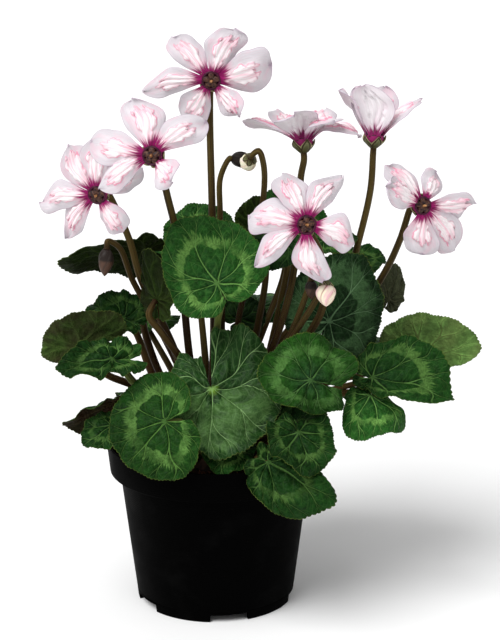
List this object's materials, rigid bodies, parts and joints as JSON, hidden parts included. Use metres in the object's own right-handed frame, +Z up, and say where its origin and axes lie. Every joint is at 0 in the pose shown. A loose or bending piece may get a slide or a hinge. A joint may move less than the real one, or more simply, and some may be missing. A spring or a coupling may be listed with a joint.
{
  "type": "potted cyclamen",
  "caption": "Florist's cyclamen in flower: marbled heart-shaped leaves and pale pink crested blooms on bare stalks, growing from a tuber in a plain round black nursery pot.",
  "frame": {"origin": "on the surface that the pot stands on, under the middle of the plant's whole width and depth", "axes": "+Z up; -Y is the side that the picture shows; +X is to its right"},
  "size_m": [0.2402, 0.1752, 0.318],
  "materials": {
    "pot": "matt black moulded plastic",
    "soil": "damp dark peat",
    "stems": "smooth reddish-brown skin",
    "leaf": "satin dark green with a silver-green band and pale veins",
    "calyx": "matt olive green",
    "petals": "soft pale pink-white with a magenta base",
    "shut_bud": "matt olive brown"
  },
  "bodies": {
    "root": {"pot": "pot", "soil": "soil", "tuber_and_stems": "stems", "leaf_01": "leaf", "leaf_02": "leaf", "leaf_03": "leaf", "leaf_04": "leaf", "leaf_05": "leaf", "leaf_06": "leaf", "leaf_07": "leaf", "leaf_08": "leaf", "leaf_09": "leaf", "leaf_10": "leaf", "leaf_11": "leaf", "leaf_12": "leaf", "leaf_13": "leaf", "leaf_14": "leaf", "leaf_15": "leaf", "leaf_16": "leaf", "leaf_17": "leaf", "leaf_18": "leaf", "leaf_19": "leaf", "leaf_20": "leaf", "leaf_21": "leaf", "leaf_22": "leaf", "leaf_23": "leaf", "leaf_24": "leaf", "leaf_25": "leaf", "leaf_26": "leaf", "leaf_27": "leaf", "leaf_28": "leaf", "leaf_29": "leaf", "leaf_30": "leaf", "leaf_31": "leaf", "leaf_32": "leaf", "leaf_33": "leaf", "leaf_34": "leaf", "flower_1_calyx": "calyx", "flower_1_petals": "petals", "flower_2_calyx": "calyx", "flower_2_petals": "petals", "flower_3_calyx": "calyx", "flower_3_petals": "petals", "flower_4_calyx": "calyx", "flower_4_petals": "petals", "flower_5_calyx": "calyx", "flower_5_petals": "petals", "flower_6_calyx": "calyx", "flower_6_petals": "petals", "flower_7_calyx": "calyx", "flower_7_petals": "petals", "bud_1": "petals", "bud_1_calyx": "calyx", "bud_2": "petals", "bud_2_calyx": "calyx", "bud_3": "shut_bud", "bud_4": "shut_bud", "bud_5": "shut_bud"}
  },
  "joints": []
}
